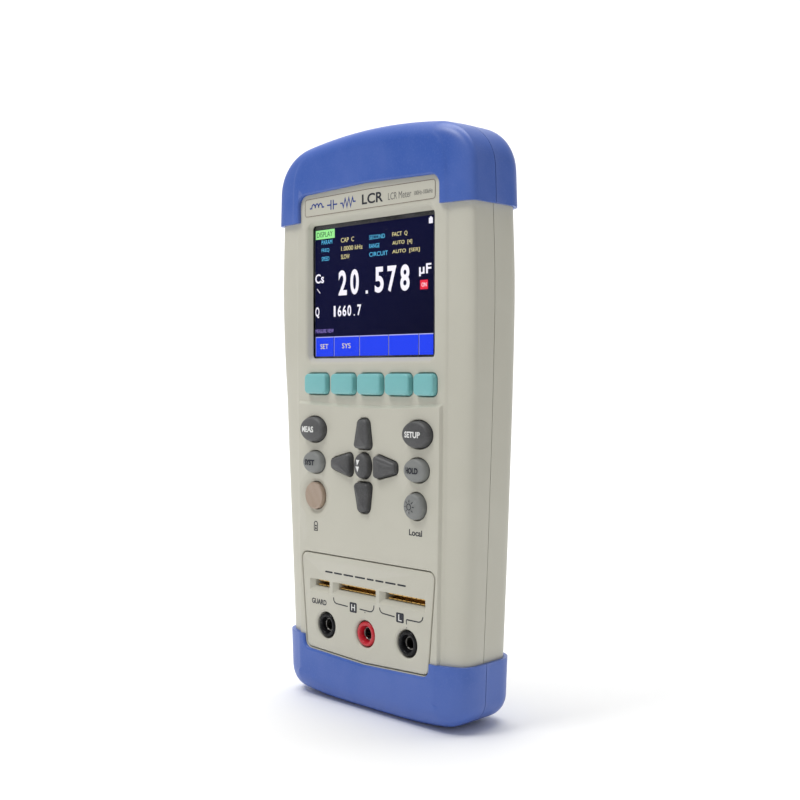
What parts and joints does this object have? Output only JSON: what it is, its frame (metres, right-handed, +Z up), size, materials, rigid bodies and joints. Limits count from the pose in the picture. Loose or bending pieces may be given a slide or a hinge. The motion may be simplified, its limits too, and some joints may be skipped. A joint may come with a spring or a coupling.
{
  "type": "lcr meter",
  "caption": "Handheld component meter with colour display, press keys, component slots, banana sockets, soft end bumpers and a hinged tilt stand.",
  "frame": {"origin": "bottom centre of the bounding box, where the meter stands", "axes": "+Z up along the height, +X to the right as the front is faced, +Y to the rear; the keys and the display face -Y"},
  "size_m": [0.1028, 0.034, 0.2136],
  "materials": {
    "battery_wrap": "shrink film",
    "black_plastic": "moulded insulator",
    "blue_bumper": "soft satin overmould, mid blue",
    "board_green": "solder mask on glass-fibre board",
    "brass": "bright spring strip",
    "cable_film": "polyimide film",
    "case_plastic": "fine moulded satin, warm light grey",
    "dark_key": "satin silicone, dark grey",
    "display_glass": "clear flat window",
    "display_metal": "thin pressed frame",
    "grey_key": "satin silicone, mid grey",
    "mat_rubber": "moulded silicone",
    "nameplate": "printed film, blank of any maker",
    "nickel": "nickel plate",
    "power_key": "translucent brownish pink",
    "red_plastic": "moulded insulator",
    "steel": "zinc plated",
    "teal_key": "satin silicone, pale teal"
  },
  "bodies": {
    "case": {"battery_cover": "case_plastic", "battery_cover_screw": "steel", "battery_lead": "red_plastic", "battery_pack": "battery_wrap", "bottom_bumper_front": "blue_bumper", "bottom_bumper_rear": "blue_bumper", "buzzer": "black_plastic", "case_screw_1": "steel", "case_screw_2": "steel", "case_screw_3": "steel", "case_screw_4": "steel", "charge_socket": "nickel", "display_cable": "cable_film", "display_module": "display_metal", "display_window": "display_glass", "front_shell": "case_plastic", "jack_guard": "black_plastic", "jack_high": "red_plastic", "jack_low": "black_plastic", "jack_sleeve_guard": "nickel", "jack_sleeve_high": "nickel", "jack_sleeve_low": "nickel", "keypad_mat": "mat_rubber", "main_board": "board_green", "nameplate": "nameplate", "rear_shell": "case_plastic", "shield_can": "nickel", "slot_contact_guard": "brass", "slot_contact_high": "brass", "slot_contact_low": "brass", "stand_pin": "steel", "terminal_panel": "case_plastic", "top_bumper_front": "blue_bumper", "top_bumper_rear": "blue_bumper"},
    "down_key": {"down_key": "dark_key"},
    "enter_key": {"enter_key": "dark_key"},
    "hold_key": {"hold_key": "grey_key"},
    "left_key": {"left_key": "dark_key"},
    "light_key": {"light_key": "grey_key"},
    "meas_key": {"meas_key": "dark_key"},
    "power_key": {"power_key": "power_key"},
    "right_key": {"right_key": "dark_key"},
    "setup_key": {"setup_key": "dark_key"},
    "softkey_1": {"softkey_1": "teal_key"},
    "softkey_2": {"softkey_2": "teal_key"},
    "softkey_3": {"softkey_3": "teal_key"},
    "softkey_4": {"softkey_4": "teal_key"},
    "softkey_5": {"softkey_5": "teal_key"},
    "syst_key": {"syst_key": "grey_key"},
    "up_key": {"up_key": "dark_key"},
    "tilt_stand": {"tilt_stand": "case_plastic"}
  },
  "joints": [
    {"name": "down_key_press", "type": "slide", "parent": "case", "child": "down_key", "axis": [0, 1, 0], "range_m": [0, 0.0008], "stiffness_N_per_m": 1500},
    {"name": "enter_key_press", "type": "slide", "parent": "case", "child": "enter_key", "axis": [0, 1, 0], "range_m": [0, 0.0008], "stiffness_N_per_m": 1500},
    {"name": "hold_key_press", "type": "slide", "parent": "case", "child": "hold_key", "axis": [0, 1, 0], "range_m": [0, 0.0008], "stiffness_N_per_m": 1500},
    {"name": "left_key_press", "type": "slide", "parent": "case", "child": "left_key", "axis": [0, 1, 0], "range_m": [0, 0.0008], "stiffness_N_per_m": 1500},
    {"name": "light_key_press", "type": "slide", "parent": "case", "child": "light_key", "axis": [0, 1, 0], "range_m": [0, 0.0008], "stiffness_N_per_m": 1500},
    {"name": "meas_key_press", "type": "slide", "parent": "case", "child": "meas_key", "axis": [0, 1, 0], "range_m": [0, 0.0008], "stiffness_N_per_m": 1500},
    {"name": "power_key_press", "type": "slide", "parent": "case", "child": "power_key", "axis": [0, 1, 0], "range_m": [0, 0.0006], "stiffness_N_per_m": 1500},
    {"name": "right_key_press", "type": "slide", "parent": "case", "child": "right_key", "axis": [0, 1, 0], "range_m": [0, 0.0008], "stiffness_N_per_m": 1500},
    {"name": "setup_key_press", "type": "slide", "parent": "case", "child": "setup_key", "axis": [0, 1, 0], "range_m": [0, 0.0008], "stiffness_N_per_m": 1500},
    {"name": "softkey_1_press", "type": "slide", "parent": "case", "child": "softkey_1", "axis": [0, 1, 0], "range_m": [0, 0.0008], "stiffness_N_per_m": 1500},
    {"name": "softkey_2_press", "type": "slide", "parent": "case", "child": "softkey_2", "axis": [0, 1, 0], "range_m": [0, 0.0008], "stiffness_N_per_m": 1500},
    {"name": "softkey_3_press", "type": "slide", "parent": "case", "child": "softkey_3", "axis": [0, 1, 0], "range_m": [0, 0.0008], "stiffness_N_per_m": 1500},
    {"name": "softkey_4_press", "type": "slide", "parent": "case", "child": "softkey_4", "axis": [0, 1, 0], "range_m": [0, 0.0008], "stiffness_N_per_m": 1500},
    {"name": "softkey_5_press", "type": "slide", "parent": "case", "child": "softkey_5", "axis": [0, 1, 0], "range_m": [0, 0.0008], "stiffness_N_per_m": 1500},
    {"name": "syst_key_press", "type": "slide", "parent": "case", "child": "syst_key", "axis": [0, 1, 0], "range_m": [0, 0.0008], "stiffness_N_per_m": 1500},
    {"name": "up_key_press", "type": "slide", "parent": "case", "child": "up_key", "axis": [0, 1, 0], "range_m": [0, 0.0008], "stiffness_N_per_m": 1500},
    {"name": "tilt_stand_hinge", "type": "hinge", "parent": "case", "child": "tilt_stand", "pos_m": [0, 0.015, 0.1463], "axis": [1, 0, 0], "range_deg": [0, 38]}
  ]
}
